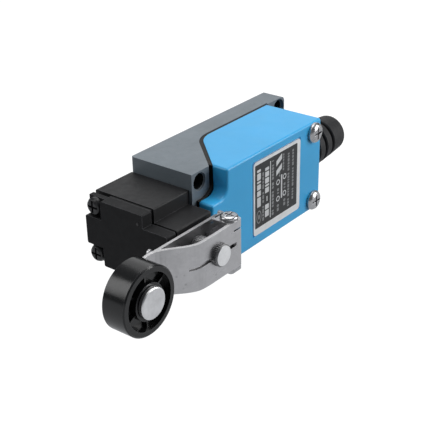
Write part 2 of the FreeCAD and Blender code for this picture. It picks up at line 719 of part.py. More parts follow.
# ------------------------------------------------------------------ clamp screw, washer and nut (along Z)
cxx, cyy, crr = -d("clamp_x"), -d("clamp_y"), d("clamp_radius")
seat = num(6.3)
b = body("clamp_washer")
s = sketch(b, "XY_Plane")
ring(s, 0, 0, 2.35)
ring(s, 0, 0, crr + 0.05)
pad(b, s, 0.25)
place(b, cxx, cyy, seat + 0.01)

b = body("clamp_screw")
s = sketch(b, "XZ_Plane")
chr_ = d("clamp_head_radius")
thread = [(0, -14.6), (crr - 0.25, -14.6)]
for k in range(26):
    zz = -14.3 + 0.5 * k
    thread += [(crr, zz), (crr - 0.2, zz + 0.25)]
poly(s, thread + [(crr, -1.3), (crr, 0), (chr_ - 0.1, 0), (chr_, 0.12), (chr_, 0.5), (chr_ * 0.88, 0.82), (chr_ * 0.7, 0.95), (0, 0.95)])
turn(b, s, "V_Axis")
s = sketch(b, "XY_Plane", 0.3)
cross(s, 0, 0, 1.5, 0.55)
pocket(b, s, 5)
place(b, cxx, cyy, seat + 0.28)

b = body("clamp_nut")
s = sketch(b, "XY_Plane")
rect(s, -2.35, -2.35, 2.35, 2.35)
pad(b, s, 1.2)
fillet(b, 0.9, lambda e: along(e, 2))
s = sketch(b, "XY_Plane")
ring(s, 0, 0, crr + 0.03)
pocket(b, s, 10, mid=True)
place(b, cxx, cyy, -lw - 1.22)

# ------------------------------------------------------------------ roller and its riveted axle
rb, rf = d("roller_back"), d("roller_front")
rr_ = d("roller_radius")
roller = body("roller")
s = sketch(roller, "XY_Plane")
hb = d("roller_bore")
poly(s, [(hb, -rb + 0.0), (hb + 2.2, -rb), (hb + 2.2, -rb - 0.9), (rr_ - 1.7, -rb - 0.9), (rr_ - 1.7, -rb), (rr_ - 0.35, -rb), (rr_, -rb - 0.35),
         (rr_, -rf + 0.35), (rr_ - 0.35, -rf), (rr_ - 1.55, -rf), (rr_ - 1.75, -rf + 2.1), (hb + 2.35, -rf + 2.1), (hb + 2.2, -rf + 0.1), (hb, -rf + 0.1)])
turn(roller, s, "V_Axis")
s = sketch(roller, "XZ_Plane", rf - 2.3)
rect(s, -0.21, hb + 1.9, 0.21, rr_ - 1.6)
rib = pad(roller, s, 1.1)
pp = roller.newObject("PartDesign::PolarPattern", "Ribs")
pp.Originals = [rib]
pp.Axis = (s, ["N_Axis"])
pp.Angle = 360
pp.Occurrences = 6
roller.Tip = pp
doc.recompute()
place(roller, -rx, 0, 0)

b = body("roller_axle")
s = sketch(b, "XY_Plane")
ar = d("axle_radius")
ah = d("axle_head_radius")
af = d("axle_front")
poly(s, [(0, -lb + 0.45), (2.9, -lb + 0.45), (3.4, -lb + 0.02), (ar, -lb + 0.02), (ar, -rf + 0.02 - 0.05), (ah, -rf - 0.03), (ah, -af + 0.25), (ah - 0.3, -af), (0, -af)])
turn(b, s, "V_Axis")
place(b, -rx, 0, 0)

# ------------------------------------------------------------------ plunger, its bush and seal
py = d("plunger_y")
pr = d("plunger_radius")


def sleeve_x(label, x0, x1, r_in, r_out, y, node=True, step=None):
    b = body(label, node)
    s = sketch(b, "XY_Plane")
    if step is None:
        rect(s, x0, r_in, x1, r_out)
    else:
        xs, r2 = step
        poly(s, [(x0, r_in), (x1, r_in), (x1, r_out), (xs, r_out), (xs, r2), (x0, r2)])
    turn(b, s, "H_Axis")
    place(b, 0, y, 0)
    return b


sleeve_x("plunger_bush", num(-0.45), num(8.6), pr + fg, num(2.58), -py, step=(num(-0.02), num(4.3)))
sleeve_x("plunger_seal", num(8.65), num(9.75), pr + fg, num(2.55), -py)

b = body("drive_plunger")
s = sketch(b, "XY_Plane")
ph = d("plunger_head_radius")
poly(s, [(-4.55, 0), (-4.55, ph - 0.4), (-4.15, ph), (-3.4, ph), (-3.4, pr), (12.0, pr), (12.3, pr - 0.3), (12.3, 0)])
turn(b, s, "H_Axis")
place(b, 0, -py, 0)


def spring(label, x0, length, radius, wire, turns, y, z):
    length, radius, wire = num(length), num(radius), num(wire)
    hx = doc.addObject("Part::Helix", label + "_path")
    hx.Radius = radius.v
    bind(hx, "Radius", radius)
    hx.Height = (length - wire * 2).v
    bind(hx, "Height", length - wire * 2)
    hx.Pitch = ((length - wire * 2) / turns).v
    bind(hx, "Pitch", (length - wire * 2) / turns)
    c = doc.addObject("Part::Circle", label + "_wire")
    c.Radius = wire.v
    bind(c, "Radius", wire)
    c.Placement = FreeCAD.Placement(FreeCAD.Vector(radius.v, 0, 0), FreeCAD.Rotation(FreeCAD.Vector(1, 0, 0), 90))
    bind(c, "Placement.Base.x", radius)
    sw = doc.addObject("Part::Sweep", label)
    sw.Label = label
    sw.Sections = [c]
    sw.Spine = (hx, ["Edge1"])
    sw.Solid = True
    sw.Frenet = True
    q = num(x0) + wire + X_SHIFT
    sw.Placement = FreeCAD.Placement(FreeCAD.Vector(q.v, num(y).v, num(z).v), FreeCAD.Rotation(FreeCAD.Vector(0, 1, 0), 90))
    bind(sw, "Placement.Base.x", q)
    bind(sw, "Placement.Base.y", y)
    for o in (hx, c):
        o.Visibility = False
    NODES.append(sw)
    return sw


spring("plunger_spring", -3.35, 2.85, 2.5, 0.28, 2.5, -py, 0)

# ------------------------------------------------------------------ contact block in the cavity
b0, b1, bh, bf = d("block_start"), d("block_end"), d("block_half"), d("block_face")
blk = body("switch_block")
s = sketch(blk, "XY_Plane")
rect(s, b0, -bf, b1, -(d("floor_thick") + 0.05))
pad(blk, s, bh * 2, mid=True)
s = sketch(blk, "XZ_Plane", 7.0)
rect(s, b0 - 1, -3.0, 35.0, 3.0)
pocket(blk, s, 10)
s = sketch(blk, "XZ_Plane", 4.0)
rect(s, 37.4, -bh - 1, b1 + 1, bh + 1)
pocket(blk, s, 20)
s = sketch(blk, "XZ_Plane")
for sg in (-1, 1):
    ring(s, 39.6, 5.0 * sg, 1.4)
pocket(blk, s, 10)
s = sketch(blk, "XZ_Plane", 9.0)
for sg in (-1, 1):
    ring(s, 24.5, 4.6 * sg, 1.0)
    ring(s, 33.0, 7.3 * sg, 1.0)
pocket(blk, s, 10)
place(blk)

b = body("contact_carrier")
s = sketch(b, "XY_Plane")
poly(s, [(12.65, -7.5), (25.0, -7.5), (25.0, -12.6), (18.9, -12.6), (18.9, -17.4), (15.9, -17.4), (15.9, -12.6), (12.65, -12.6)])
pad(b, s, 5.0, mid=True)
s = sketch(b, "XY_Plane")
rect(s, 16.98, -16.6, 17.82, -15.0)
pocket(b, s, 20, mid=True)
s = sketch(b, "YZ_Plane", 22.6)
ring(s, -10.0, 0, 2.05)
pocket(b, s, 5)
place(b)

b = body("contact_bridge")
s = sketch(b, "XY_Plane")
rect(s, 17.0, -16.55, 17.8, -15.05)
pad(b, s, 17.0, mid=True)
s = sketch(b, "YZ_Plane", 16.72)
for sg in (-1, 1):
    ring(s, -15.8, 7.5 * sg, 0.62)
pad(b, s, 0.4)
s = sketch(b, "YZ_Plane", 17.7)
for sg in (-1, 1):
    ring(s, -15.8, 4.6 * sg, 0.62)
pad(b, s, 0.38)
place(b)

spring("carrier_spring", 22.8, 12.1, 1.6, 0.25, 6, -10.0, 0)


def strip(label, x_tab, x_end, z_mid, z_wide, xs, zs):
    """A contact strip on the block's face with an upturned tab and a tapped hole."""
    out = []
    for i, sg in enumerate((1, -1)):
        b = body("%s_%d" % (label, i), False)
        s = sketch(b, "XY_Plane")
        poly(s, [(x_tab, -bf - 0.03), (x_end, -bf - 0.03), (x_end, -bf - 0.83), (x_tab + 0.8, -bf - 0.83), (x_tab + 0.8, -17.0), (x_tab, -17.0)])
        pad(b, s, z_wide, mid=True)
        s = sketch(b, "XZ_Plane")
        ring(s, xs, num(zs - z_mid) * sg, 1.0)
        pocket(b, s, 30)
        place(b, 0, 0, z_mid * sg)
        out.append(b)
    return group(label, out)


strip("nc_contacts", 15.2, 36.2, 7.3, 2.4, 33.0, 7.3)
strip("no_contacts", 19.9, 27.2, 4.6, 2.6, 24.5, 4.6)
tips = []
for i, (xx, zz) in enumerate(((16.02, 7.5), (16.02, -7.5), (19.5, 4.6), (19.5, -4.6))):
    b = body("contact_tip_%d" % i, False)
    s = sketch(b, "YZ_Plane")
    ring(s, 0, 0, 0.6)
    pad(b, s, 0.38)
    place(b, xx, -15.8, zz)
    tips.append(b)
group("contact_tips", tips)

clamps, tscrews = [], []
for i, (xx, zz) in enumerate(((33.0, 7.3), (33.0, -7.3), (24.5, 4.6), (24.5, -4.6))):
    b = body("terminal_clamp_%d" % i, False)
    s = sketch(b, "XZ_Plane")
    rect(s, -2.2, -2.2, 2.2, 2.2)
    pad(b, s, 0.7)
    s = sketch(b, "XZ_Plane", -1)
    ring(s, 0, 0, 1.0)
    pocket(b, s, 5)
    place(b, xx, -bf - 0.86, zz)
    clamps.append(b)
    tscrews.append(screw_y("terminal_screw_%d" % i, xx, -bf - 1.58, zz, 1.95, 1.3, 0.97, 5.0, 1.2))
group("terminal_clamps", clamps)
group("terminal_screws", tscrews)
group("block_screws", [screw_y("block_screw_%d" % i, 39.6, -4.02, 5.0 * sg, 2.2, 1.4, 1.22, 2.7, 1.4) for i, sg in enumerate((1, -1))])
NODES.append(screw_y("earth_screw", 46.5, -d("floor_thick") - 0.55, 0, 2.6, 1.6, 1.45, 1.4, 1.6))
b = body("earth_washer")
s = sketch(b, "XZ_Plane")
ring(s, 0, 0, 3.2)
ring(s, 0, 0, 1.55)
pad(b, s, 0.5)
place(b, 46.5, -d("floor_thick") - 0.02, 0)

# clear lid over the contacts
lid = body("contact_lid")
s = sketch(lid, "XY_Plane")
rect(s, 13.4, -19.2, 21.9, -bf - 0.95)
pad(lid, s, 19.2, mid=True)
s = sketch(lid, "XY_Plane")
rect(s, 14.1, -18.5, 21.2, 0)
pocket(lid, s, 17.8, mid=True)
place(lid)

# ------------------------------------------------------------------ cable gland
gy = d("gland_y")
gb, gt, ge = d("gland_base_radius"), d("gland_tip_radius"), d("gland_end")
nk = d("gland_neck_radius")
cb = d("cable_bore_radius")
gland = body("cable_gland")
s = sketch(gland, "XY_Plane")


def taper(x):
    return gb + (gt - gb) * ((num(x) - xc1) / (ge - xc1))


pts = [(xc1 - w - 1.5, cb + 0.9), (xc1 - w - 1.5, 7.4), (xc1 - w - 0.03, 7.4), (xc1 - w - 0.03, nk - 0.03), (xc1 + 0.03, nk - 0.03)]
pts += [(xc1 + 0.03, taper(xc1) - 0.2), (xc1 + 0.3, taper(xc1 + 0.3))]
for a, b_ in ((4.5, 5.7), (8.9, 10.1), (13.2, 14.4)):
    pts += [(xc1 + a - 0.25, taper(xc1 + a)), (xc1 + a, taper(xc1 + a) - 0.25), (xc1 + a + 0.1, taper(xc1 + a) - 1.35), (xc1 + b_ - 0.1, taper(xc1 + b_) - 1.35),
            (xc1 + b_, taper(xc1 + b_) - 0.3), (xc1 + b_ + 0.25, taper(xc1 + b_))]
for k in range(0, 7):
    a = math.radians(90 - 90.0 * k / 6)
    pts.append((ge - 1.3 + 1.3 * math.cos(a), gt - 1.3 + 1.3 * math.sin(a) + (0.0 if k else 0.0)))
pts += [(ge, cb + 0.4), (ge - 0.4, cb), (ge - 7.0, cb), (ge - 7.6, cb + 0.9)]
poly(s, pts)
turn(gland, s, "H_Axis")
place(gland, 0, -gy, 0)
sleeve_x("gland_retainer", xc1 - w - 2.3, xc1 - w - 1.55, cb + 1.0, num(7.2), -gy)

# ------------------------------------------------------------------ write the files
doc.recompute()
bad = [o.Label for o in doc.Objects if "Invalid" in o.State or "Error" in o.State]
if bad:
    raise RuntimeError("failed: " + ", ".join(bad))
os.makedirs("parts", exist_ok=True)
for o in NODES:
    shape = o.Shape
    if shape.isNull() or not shape.isValid() or not shape.Solids:
        raise RuntimeError("no valid solid: " + o.Label)
    shape.exportStep("parts/" + o.Label + ".step")
    bb = shape.BoundBox
    print("%-18s %d solid(s) %9.2f mm3  x %7.2f %7.2f  y %7.2f %7.2f  z %7.2f %7.2f" % (
        o.Label, len(shape.Solids), shape.Volume, bb.XMin, bb.XMax, bb.YMin, bb.YMax, bb.ZMin, bb.ZMax))
print("nodes:", len(NODES))
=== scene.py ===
"""Looks of the roller-lever limit switch: materials, edge softening, printed nameplate, floor, light and camera."""
import math
import random

import bmesh
import bpy
from mathutils import Matrix, Vector


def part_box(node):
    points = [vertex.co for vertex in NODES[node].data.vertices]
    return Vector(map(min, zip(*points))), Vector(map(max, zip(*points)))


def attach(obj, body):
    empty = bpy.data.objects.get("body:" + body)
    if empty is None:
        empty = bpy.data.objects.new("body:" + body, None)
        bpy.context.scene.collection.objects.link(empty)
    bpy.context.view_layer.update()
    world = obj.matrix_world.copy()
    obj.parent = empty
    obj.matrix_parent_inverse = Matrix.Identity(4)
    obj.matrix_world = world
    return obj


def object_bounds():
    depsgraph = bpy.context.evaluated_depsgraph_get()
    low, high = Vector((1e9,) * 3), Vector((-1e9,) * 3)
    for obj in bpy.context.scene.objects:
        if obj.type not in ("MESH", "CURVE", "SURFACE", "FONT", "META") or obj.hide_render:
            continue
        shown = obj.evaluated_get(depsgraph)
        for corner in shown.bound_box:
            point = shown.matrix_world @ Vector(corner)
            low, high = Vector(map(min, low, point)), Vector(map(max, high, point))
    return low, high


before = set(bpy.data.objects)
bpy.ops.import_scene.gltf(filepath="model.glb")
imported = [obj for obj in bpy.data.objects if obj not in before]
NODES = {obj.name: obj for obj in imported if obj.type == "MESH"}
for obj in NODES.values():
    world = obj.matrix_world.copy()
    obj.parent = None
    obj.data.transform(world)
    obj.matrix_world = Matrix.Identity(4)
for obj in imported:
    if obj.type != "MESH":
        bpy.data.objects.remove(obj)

CAD_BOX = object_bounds()
MM = 0.001
RND = random.Random(81)
scene = bpy.context.scene


# ---------------------------------------------------------------- node helpers
class Tree:
    """Small helper that builds one material's node tree."""

    def __init__(self, name, **sockets):
        self.mat = bpy.data.materials.new(name)
        self.mat.use_nodes = True
        self.nt = self.mat.node_tree
        self.nt.nodes.clear()
        self.out = self.nt.nodes.new("ShaderNodeOutputMaterial")
        self.bsdf = self.nt.nodes.new("ShaderNodeBsdfPrincipled")
        self.nt.links.new(self.bsdf.outputs[0], self.out.inputs[0])
        for key, value in sockets.items():
            self.bsdf.inputs[key.replace("_", " ")].default_value = value
        self.coord = self.nt.nodes.new("ShaderNodeTexCoord").outputs["Object"]

    def link(self, a, b):
        self.nt.links.new(a, b)

    def node(self, kind, **props):
        n = self.nt.nodes.new(kind)
        for key, value in props.items():
            setattr(n, key, value)
        return n

    def mapped(self, scale=(1, 1, 1), rotate=(0, 0, 0), shift=(0, 0, 0)):
        n = self.node("ShaderNodeMapping")
        self.link(self.coord, n.inputs["Vector"])
        n.inputs["Scale"].default_value = scale
        n.inputs["Rotation"].default_value = rotate
        n.inputs["Location"].default_value = shift
        return n.outputs[0]

    def noise(self, scale, detail=2.0, rough=0.5, distort=0.0, at=None):
        n = self.node("ShaderNodeTexNoise")
        self.link(at or self.coord, n.inputs["Vector"])
        n.inputs["Scale"].default_value = scale
        n.inputs["Detail"].default_value = detail
        n.inputs["Roughness"].default_value = rough
        n.inputs["Distortion"].default_value = distort
        return n.outputs["Fac"]

    def cells(self, scale, at=None, feature="F1", out="Distance"):
        n = self.node("ShaderNodeTexVoronoi", feature=feature)
        self.link(at or self.coord, n.inputs["Vector"])
        n.inputs["Scale"].default_value = scale
        return n.outputs[out]

    def wave(self, scale, distort=0.0, detail=0.0, kind="BANDS", direction="X", at=None):
        n = self.node("ShaderNodeTexWave", wave_type=kind)
        if kind == "BANDS":
            n.bands_direction = direction
        else:
            n.rings_direction = direction
        self.link(at or self.coord, n.inputs["Vector"])
        n.inputs["Scale"].default_value = scale
        n.inputs["Distortion"].default_value = distort
        n.inputs["Detail"].default_value = detail
        return n.outputs["Fac"]

    def remap(self, fac, lo, hi, to_lo=0.0, to_hi=1.0):
        n = self.node("ShaderNodeMapRange")
        self.link(fac, n.inputs["Value"])
        n.inputs["From Min"].default_value = lo
        n.inputs["From Max"].default_value = hi
        n.inputs["To Min"].default_value = to_lo
        n.inputs["To Max"].default_value = to_hi
        return n.outputs["Result"]

    def ramp(self, fac, stops):
        n = self.node("ShaderNodeValToRGB")
        els = n.color_ramp.elements
        while len(els) < len(stops):
            els.new(0.5)
        for el, (pos, col) in zip(els, stops):
            el.position = pos
            el.color = (*col, 1.0) if len(col) == 3 else col
        self.link(fac, n.inputs["Fac"])
        return n.outputs["Color"]

    def mix(self, fac, a, b):
        """Mixes two colours; a and b are sockets or triples."""
        n = self.node("ShaderNodeMix", data_type="RGBA")
        if hasattr(fac, "is_output"):
            self.link(fac, n.inputs[0])
        else:
            n.inputs[0].default_value = fac
        for sock, v in ((n.inputs[6], a), (n.inputs[7], b)):
            if hasattr(v, "is_output"):
                self.link(v, sock)
            else:
                sock.default_value = (*v, 1.0)
        return n.outputs[2]

    def math(self, op, a, b=None, clamp=False):
        n = self.node("ShaderNodeMath", operation=op, use_clamp=clamp)
        for sock, v in zip(n.inputs, (a, b)):
            if v is None:
                continue
            if hasattr(v, "is_output"):
                self.link(v, sock)
            else:
                sock.default_value = v
        return n.outputs[0]

    def edge(self, radius, samples=4):
        """1 on sharp outside and inside edges, 0 on plain faces."""
        bev = self.node("ShaderNodeBevel", samples=samples)
        bev.inputs["Radius"].default_value = radius
        geo = self.node("ShaderNodeNewGeometry")
        dot = self.node("ShaderNodeVectorMath", operation="DOT_PRODUCT")
        self.link(bev.outputs[0], dot.inputs[0])
        self.link(geo.outputs["Normal"], dot.inputs[1])
        return self.remap(dot.outputs["Value"], 1.0, 0.86)

    def facing(self, axis, lo=0.45, hi=0.8):
        """1 on faces whose normal runs along the given axis, either way."""
        tc = self.node("ShaderNodeTexCoord")
        sep = self.node("ShaderNodeSeparateXYZ")
        self.link(tc.outputs["Normal"], sep.inputs[0])
        return self.remap(self.math("ABSOLUTE", sep.outputs["XYZ".index(axis)]), lo, hi)

    def inside_bores(self, x, z, radius):
        """1 on the walls of the four bores that run along Y at (+-x, +-z)."""
        sep = self.node("ShaderNodeSeparateXYZ")
        self.link(self.coord, sep.inputs[0])
        dx = self.math("SUBTRACT", self.math("ABSOLUTE", sep.outputs[0]), x)
        dz = self.math("SUBTRACT", self.math("ABSOLUTE", sep.outputs[2]), z)
        r = self.math("SQRT", self.math("ADD", self.math("MULTIPLY", dx, dx), self.math("MULTIPLY", dz, dz)))
        return self.remap(r, radius + 0.00012, radius + 0.00006)

    def bump(self, height, distance, strength=1.0, normal=None):
        n = self.node("ShaderNodeBump")
        self.link(height, n.inputs["Height"])
        n.inputs["Distance"].default_value = distance
        n.inputs["Strength"].default_value = strength
        if normal is not None:
            self.link(normal, n.inputs["Normal"])
        return n.outputs[0]

    def set(self, socket, value):
        self.link(value, self.bsdf.inputs[socket])


def shade(c, k):
    return tuple(min(1.0, v * k) for v in c)


# ---------------------------------------------------------------- materials
def sprayed_paint(name, base, rough=(0.38, 0.5), grain=3800.0, depth=0.00002, edge_k=1.5, spec=0.5, coat=0.0, edge_w=0.55, bores=None):
    """Fine sprayed coat on a casting: orange-peel grain, slow tone drift, small bright specks painted in as sparkle
    glints, lighter edges that are partly thinner paint and partly painted highlight, and optional bore walls painted
    dark, partly as raw metal and partly as painted shade.
    """
    t = Tree(name, Specular_IOR_Level=spec, Coat_Weight=coat, Coat_Roughness=0.25)
    slow = t.noise(90.0, 3.0, 0.55)
    fine = t.noise(grain, 2.0, 0.6)
    tone = t.ramp(slow, [(0.3, shade(base, 0.9)), (0.7, shade(base, 1.1))])
    # Small bright specks painted into the coat colour: painted sparkle glints.
    sparkle_glint = t.remap(t.noise(grain * 0.45, 2.0, 0.7), 0.66, 0.78)
    tone = t.mix(t.math("MULTIPLY", sparkle_glint, 0.35), tone, shade(base, 1.9))
    pit = t.remap(t.noise(grain * 0.3, 2.0, 0.6), 0.34, 0.24)
    tone = t.mix(t.math("MULTIPLY", pit, 0.4), tone, shade(base, 0.45))
    # Edges lightened in patches: partly worn thinner paint, partly a painted edge highlight (strong on the black
    # finishes).
    edge_wear_and_highlight = t.math("MULTIPLY", t.edge(0.00024), t.remap(t.noise(420.0, 3.0, 0.6), 0.2, 0.6))
    tone = t.mix(t.math("MULTIPLY", edge_wear_and_highlight, edge_w), tone, shade(base, edge_k))
    gloss = t.remap(t.noise(600.0, 3.0), 0.25, 0.75, *rough)
    if bores:
        # Bore walls painted near black: partly the raw unpainted bore, partly painted shade inside the hole.
        raw_bore_and_shade = t.inside_bores(*bores)
        tone = t.mix(raw_bore_and_shade, tone, (0.012, 0.014, 0.014))
        gloss = t.math("SUBTRACT", gloss, t.math("MULTIPLY", raw_bore_and_shade, 0.2))
    t.set("Base Color", tone)
    t.set("Roughness", gloss)
    h = t.math("ADD", t.math("MULTIPLY", fine, 1.0), t.math("MULTIPLY", t.noise(1300.0, 2.0), 0.8))
    t.set("Normal", t.bump(h, depth, 0.75))
    return t.mat


def moulded(name, base, rough=(0.24, 0.34), grain=2600.0, depth=0.000006, edge_k=1.25, spec=0.5, drift=0.05, sss=0.0):
    """Injection-moulded plastic: slight flow tone, very shallow mould grain, edges lightened as a painted highlight."""
    t = Tree(name, Specular_IOR_Level=spec, Subsurface_Weight=sss, Subsurface_Scale=0.0006)
    slow = t.noise(55.0, 3.0, 0.5, 0.6)
    tone = t.ramp(slow, [(0.3, shade(base, 1 - drift)), (0.7, shade(base, 1 + drift))])
    # Edges lightened in the base colour: painted edge highlight (strongest on the black nylon roller rim).
    edge_highlight = t.math("MULTIPLY", t.edge(0.0003), 0.45)
    tone = t.mix(edge_highlight, tone, tuple(min(1.0, v * edge_k + 0.02) for v in base))
    t.set("Base Color", tone)
    scuff = t.noise(240.0, 5.0, 0.65, 0.4)
    t.set("Roughness", t.remap(scuff, 0.25, 0.75, *rough))
    h = t.math("ADD", t.math("MULTIPLY", t.noise(grain, 2.0), 0.7), t.noise(180.0, 2.0))
    t.set("Normal", t.bump(h, depth, 0.8))
    return t.mat


def rubber(name, base=(0.014, 0.014, 0.015), rough=(0.5, 0.66), dust=0.2, face=None):
    """Moulded rubber: fine matte skin with a dusty bloom; with face given, the faces along Z are painted lighter as
    painted light on a lit edge.
    """
    t = Tree(name, Specular_IOR_Level=0.3 if dust > 0.1 else 0.15)
    tone = t.ramp(t.noise(160.0, 4.0, 0.6), [(0.3, shade(base, 0.8)), (0.72, shade(base, 1.35))])
    bloom = t.remap(t.noise(2300.0, 3.0, 0.65), 0.6, 0.8)
    tone = t.mix(t.math("MULTIPLY", bloom, dust), tone, (0.11, 0.11, 0.115))
    # Faces along Z painted lighter: painted light on the lit edge of the gasket.
    if face:
        tone = t.mix(t.facing("Z"), tone, face)
    t.set("Base Color", tone)
    t.set("Roughness", t.remap(t.noise(900.0, 3.0), 0.25, 0.75, *rough))
    t.set("Normal", t.bump(t.noise(3000.0, 3.0, 0.6), 0.000012, 0.7))
    return t.mat


def rolled_steel(name, base=(0.62, 0.61, 0.62), rough=(0.2, 0.36), streak=(1, 1, 1), mottle=0.5, pits=0.35, cut=None):
    """Plated rolled sheet: cloudy plating, faint rolling streaks, small pits, edges lightened as a painted highlight,
    and optionally painted shade in the slot along the cut axis.
    """
    t = Tree(name, Metallic=1.0)
    cloud = t.noise(230.0, 5.0, 0.62, 0.8)
    fine = t.noise(1.0, 4.0, 0.6, at=t.mapped(scale=tuple(900.0 * s for s in streak)))
    tone = t.ramp(cloud, [(0.28, shade(base, 1 - 0.32 * mottle)), (0.5, base), (0.74, shade(base, 1 + 0.3 * mottle))])
    tone = t.mix(t.math("MULTIPLY", t.remap(fine, 0.35, 0.7), 0.22), tone, shade(base, 0.72))
    spot = t.remap(t.cells(520.0), 0.2, 0.08)
    spot = t.math("MULTIPLY", spot, t.remap(t.noise(130.0, 2.0), 0.5, 0.62))
    tone = t.mix(t.math("MULTIPLY", spot, pits), tone, shade(base, 0.25))
    gloss = t.remap(t.noise(330.0, 5.0, 0.6, 0.5), 0.25, 0.75, *rough)
    if cut:
        # Faces along the cut axis within 1.2 mm of the centre are painted near black as painted shade in the slot; all
        # faces along that axis are made rougher.
        sep = t.node("ShaderNodeSeparateXYZ")
        t.link(t.coord, sep.inputs[0])
        near = t.remap(t.math("ABSOLUTE", sep.outputs["XYZ".index(cut)]), 0.0016, 0.0012)
        slot_shade = t.math("MULTIPLY", t.facing(cut), near)
        tone = t.mix(t.math("MULTIPLY", slot_shade, 0.9), tone, shade(base, 0.1))
        gloss = t.math("ADD", gloss, t.math("MULTIPLY", t.facing(cut), 0.08))
    # Edges lightened towards near white: painted edge highlight.
    tone = t.mix(t.math("MULTIPLY", t.edge(0.00016), 0.6), tone, (0.86, 0.86, 0.87))
    t.set("Base Color", tone)
    t.set("Roughness", gloss)
    h = t.math("ADD", t.math("MULTIPLY", cloud, 1.2), t.math("MULTIPLY", fine, 0.35))
    t.set("Normal", t.bump(h, 0.00003, 0.6))
    return t.mat


def turned(name, axis, centre=(0, 0, 0), base=(0.66, 0.66, 0.68), rough=(0.2, 0.32), pitch=0.00012, depth=0.000005, side=None):
    """Turned metal: concentric tool marks round the given axis; an optional darker side colour is painted shade on the
    faces not along the axis.
    """
    t = Tree(name, Metallic=1.0)
    at = t.mapped(shift=tuple(-v for v in centre))
    rings = t.wave(1.0 / pitch / 6.0, 1.2, 2.0, kind="RINGS", direction=axis, at=at)
    cloud = t.noise(420.0, 4.0, 0.6)
    tone = t.ramp(cloud, [(0.3, shade(base, 0.86)), (0.7, shade(base, 1.1))])
    tone = t.mix(t.math("MULTIPLY", rings, 0.16), tone, shade(base, 0.7))
    # With side given, the faces not along the axis get the dark side colour: painted shade on the shaft's side, set
    # against its bright end face.
    if side:
        tone = t.mix(t.facing(axis, 0.75, 0.95), side, tone)
    # Edges lightened towards near white: painted edge highlight.
    tone = t.mix(t.math("MULTIPLY", t.edge(0.0002), 0.6), tone, (0.9, 0.9, 0.9))
    t.set("Base Color", tone)
    t.set("Roughness", t.remap(t.noise(800.0, 3.0), 0.25, 0.75, *rough))
    t.set("Normal", t.bump(rings, depth, 0.8))
    return t.mat


def plated(name, base=(0.75, 0.75, 0.76), rough=(0.12, 0.26), tint=(0.5, 0.5, 0.52)):
    """Bright plated steel with faint handling marks."""
    t = Tree(name, Metallic=1.0)
    tone = t.ramp(t.noise(700.0, 4.0, 0.6), [(0.3, shade(base, 0.85)), (0.7, shade(base, 1.12))])
    marks = t.remap(t.noise(1.0, 3.0, at=t.mapped(scale=(2400, 500, 2400))), 0.58, 0.72)
    tone = t.mix(t.math("MULTIPLY", marks, 0.3), tone, tint)
    # Edges lightened towards near white: painted edge highlight.
    tone = t.mix(t.math("MULTIPLY", t.edge(0.00015), 0.5), tone, (0.93, 0.93, 0.93))
    t.set("Base Color", tone)
    t.set("Roughness", t.remap(t.noise(1400.0, 3.0), 0.25, 0.75, *rough))
    t.set("Normal", t.bump(t.noise(900.0, 3.0), 0.000008, 0.6))
    return t.mat


MAT = {
    "grey_diecast": sprayed_paint("grey_diecast", (0.150, 0.178, 0.202), rough=(0.38, 0.5), grain=4200.0, depth=0.000022, bores=(0.028, 0.011, 0.00215)),
    "blue_plastic": moulded("blue_plastic", (0.038, 0.395, 0.755), rough=(0.3, 0.4), sss=0.05),
    "black_head": sprayed_paint("black_head", (0.013, 0.013, 0.014), rough=(0.46, 0.58), grain=4600.0, depth=0.00002, edge_k=9.0, spec=0.28, edge_w=0.8),
    "black_plate": sprayed_paint("black_plate", (0.013, 0.013, 0.014), rough=(0.55, 0.66), grain=4300.0, depth=0.00003, edge_k=10.0, spec=0.16, edge_w=0.8),
    "black_rubber": rubber("black_rubber"),
    # gasket_rubber: its face colour is painted light on the gasket's Z faces.
    "gasket_rubber": rubber("gasket_rubber", (0.004, 0.004, 0.0045), rough=(0.6, 0.75), dust=0.06, face=(0.035, 0.033, 0.031)),
    "black_nylon": moulded("black_nylon", (0.006, 0.006, 0.0065), rough=(0.15, 0.24), edge_k=12.0, drift=0.15, depth=0.000005),
    "zinc_sheet": rolled_steel("zinc_sheet", (0.555, 0.55, 0.56), rough=(0.24, 0.38), streak=(0.35, 1.0, 1.6), mottle=0.35, cut="Z"),
    "bright_screw": plated("bright_screw", (0.47, 0.47, 0.48), rough=(0.2, 0.34), tint=(0.3, 0.3, 0.31)),
    # turned_steel: its side colour is painted shade on the shaft's side.
    "turned_steel": turned("turned_steel", "Y", (-0.0401, 0, 0), base=(0.93, 0.93, 0.94), rough=(0.36, 0.48), side=(0.16, 0.16, 0.165)),
    "turned_axle": turned("turned_axle", "Y", (-0.06725, 0, 0), base=(0.79, 0.79, 0.80), rough=(0.3, 0.42)),
    "turned_x": turned("turned_x", "X", (0, -0.01025, 0)),
    "black_screw": sprayed_paint("black_screw", (0.012, 0.012, 0.013), rough=(0.25, 0.4), grain=5200.0, depth=0.00001, edge_k=6.0),
    "bronze": turned("bronze", "Y", (-0.0401, 0, 0), base=(0.62, 0.42, 0.2), rough=(0.3, 0.45), depth=0.000008),
    "brass_strip": rolled_steel("brass_strip", (0.78, 0.6, 0.28), streak=(1.0, 1.0, 0.3), mottle=0.35, pits=0.2),
    "silver_tip": plated("silver_tip", (0.86, 0.86, 0.84)),
    "phenolic": moulded("phenolic", (0.045, 0.04, 0.038), rough=(0.4, 0.55), edge_k=1.8, drift=0.15),
    "white_plastic": moulded("white_plastic", (0.8, 0.79, 0.76), rough=(0.35, 0.48), edge_k=1.1),
    "spring_steel": plated("spring_steel", (0.5, 0.5, 0.52), rough=(0.2, 0.34)),
}


